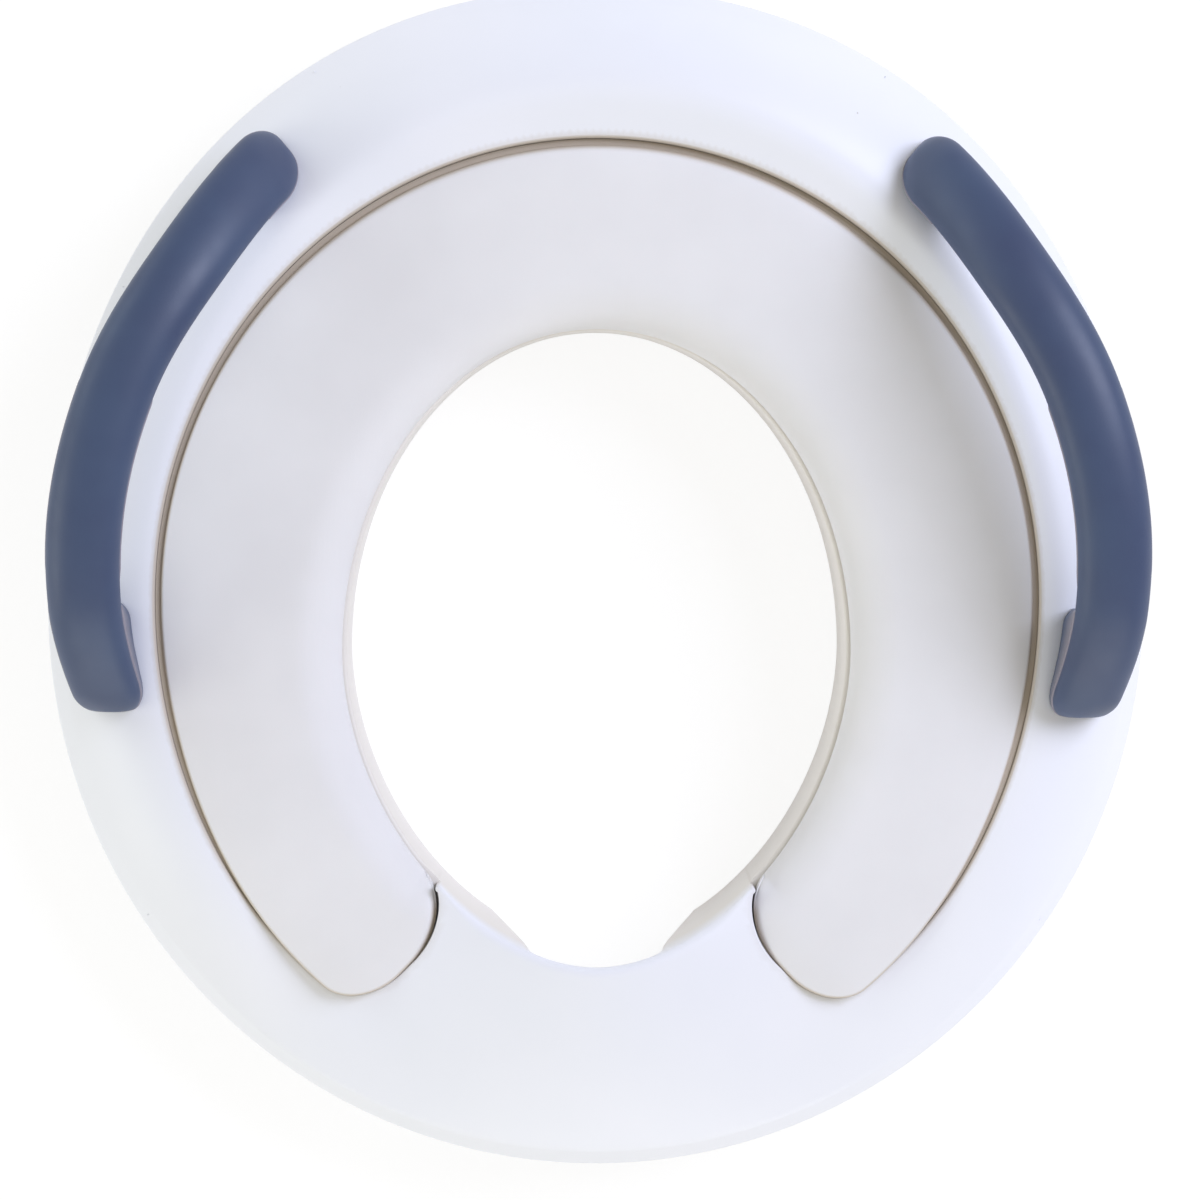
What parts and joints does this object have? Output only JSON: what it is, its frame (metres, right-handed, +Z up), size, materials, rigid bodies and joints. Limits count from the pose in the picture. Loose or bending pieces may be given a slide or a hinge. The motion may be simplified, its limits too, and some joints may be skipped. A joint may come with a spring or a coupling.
{
  "type": "toddler potty training seat",
  "caption": "Egg-shaped ring seat with a soft horseshoe pad, a raised splash guard in front, arched side grab handles and a locating collar below.",
  "frame": {"origin": "middle of the part's length and width, on the plane that the foot of its collar stands on", "axes": "+Z up, +Y towards the back of the seat, +X towards the seat's right side as the picture shows it"},
  "size_m": [0.3424, 0.3678, 0.108],
  "materials": {
    "shell": "satin white polypropylene",
    "pad": "soft matt foam skin",
    "handle": "satin slate blue",
    "screw": "zinc plated",
    "grip": "matt grey"
  },
  "bodies": {
    "root": {"seat_shell": "shell", "seat_pad": "pad", "left_handle": "handle", "right_handle": "handle", "handle_screws": "screw", "back_left_grip_pad": "grip", "back_right_grip_pad": "grip", "front_left_grip_pad": "grip", "front_right_grip_pad": "grip"}
  },
  "joints": []
}
